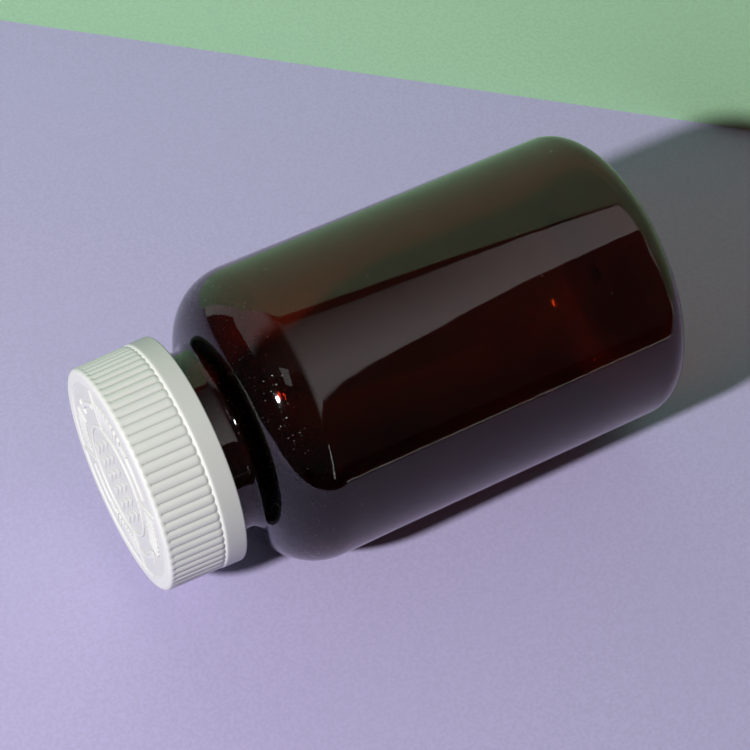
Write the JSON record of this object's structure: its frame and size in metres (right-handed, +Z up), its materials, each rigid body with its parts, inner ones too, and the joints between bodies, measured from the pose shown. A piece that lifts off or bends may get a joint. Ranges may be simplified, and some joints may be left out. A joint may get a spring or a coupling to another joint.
{
  "type": "pharmacy bottle",
  "caption": "Round amber bottle with a wide screw neck, rounded shoulder, domed base and a white ribbed press-and-turn cap over a threaded inner cap.",
  "frame": {"origin": "centre of the ring that the bottle stands on, at the bottom of the closed bottle", "axes": "+Z up along the bottle's axis, from base to cap; the marks on the cap's top read from the -Y side"},
  "size_m": [0.0666, 0.0666, 0.1222],
  "materials": {
    "amber": "glossy dark amber, translucent",
    "liner_board": "matt pulp board",
    "inner_white": "moulded polypropylene, satin",
    "cap_white": "moulded polypropylene, satin"
  },
  "bodies": {
    "bottle": {"bottle": "amber"},
    "lift": {"liner": "liner_board"},
    "inner": {"inner_cap": "inner_white"},
    "outer": {"outer_cap": "cap_white"}
  },
  "joints": [
    {"name": "cap_lift", "type": "slide", "parent": "bottle", "child": "lift", "axis": [0, 0, 1], "range_m": [0, 0.02119]},
    {"name": "cap_turn", "type": "hinge", "parent": "lift", "child": "inner", "pos_m": [0, 0, 0.113], "axis": [0, 0, 1], "range_deg": [0, 1800]},
    {"name": "push_down", "type": "slide", "parent": "inner", "child": "outer", "axis": [0, 0, -1], "range_m": [0, 0.0011], "stiffness_N_per_m": 4000}
  ],
  "couplings": [
    {"joint": "cap_lift", "follows": "cap_turn", "m_per_rad": 0.00067376}
  ]
}
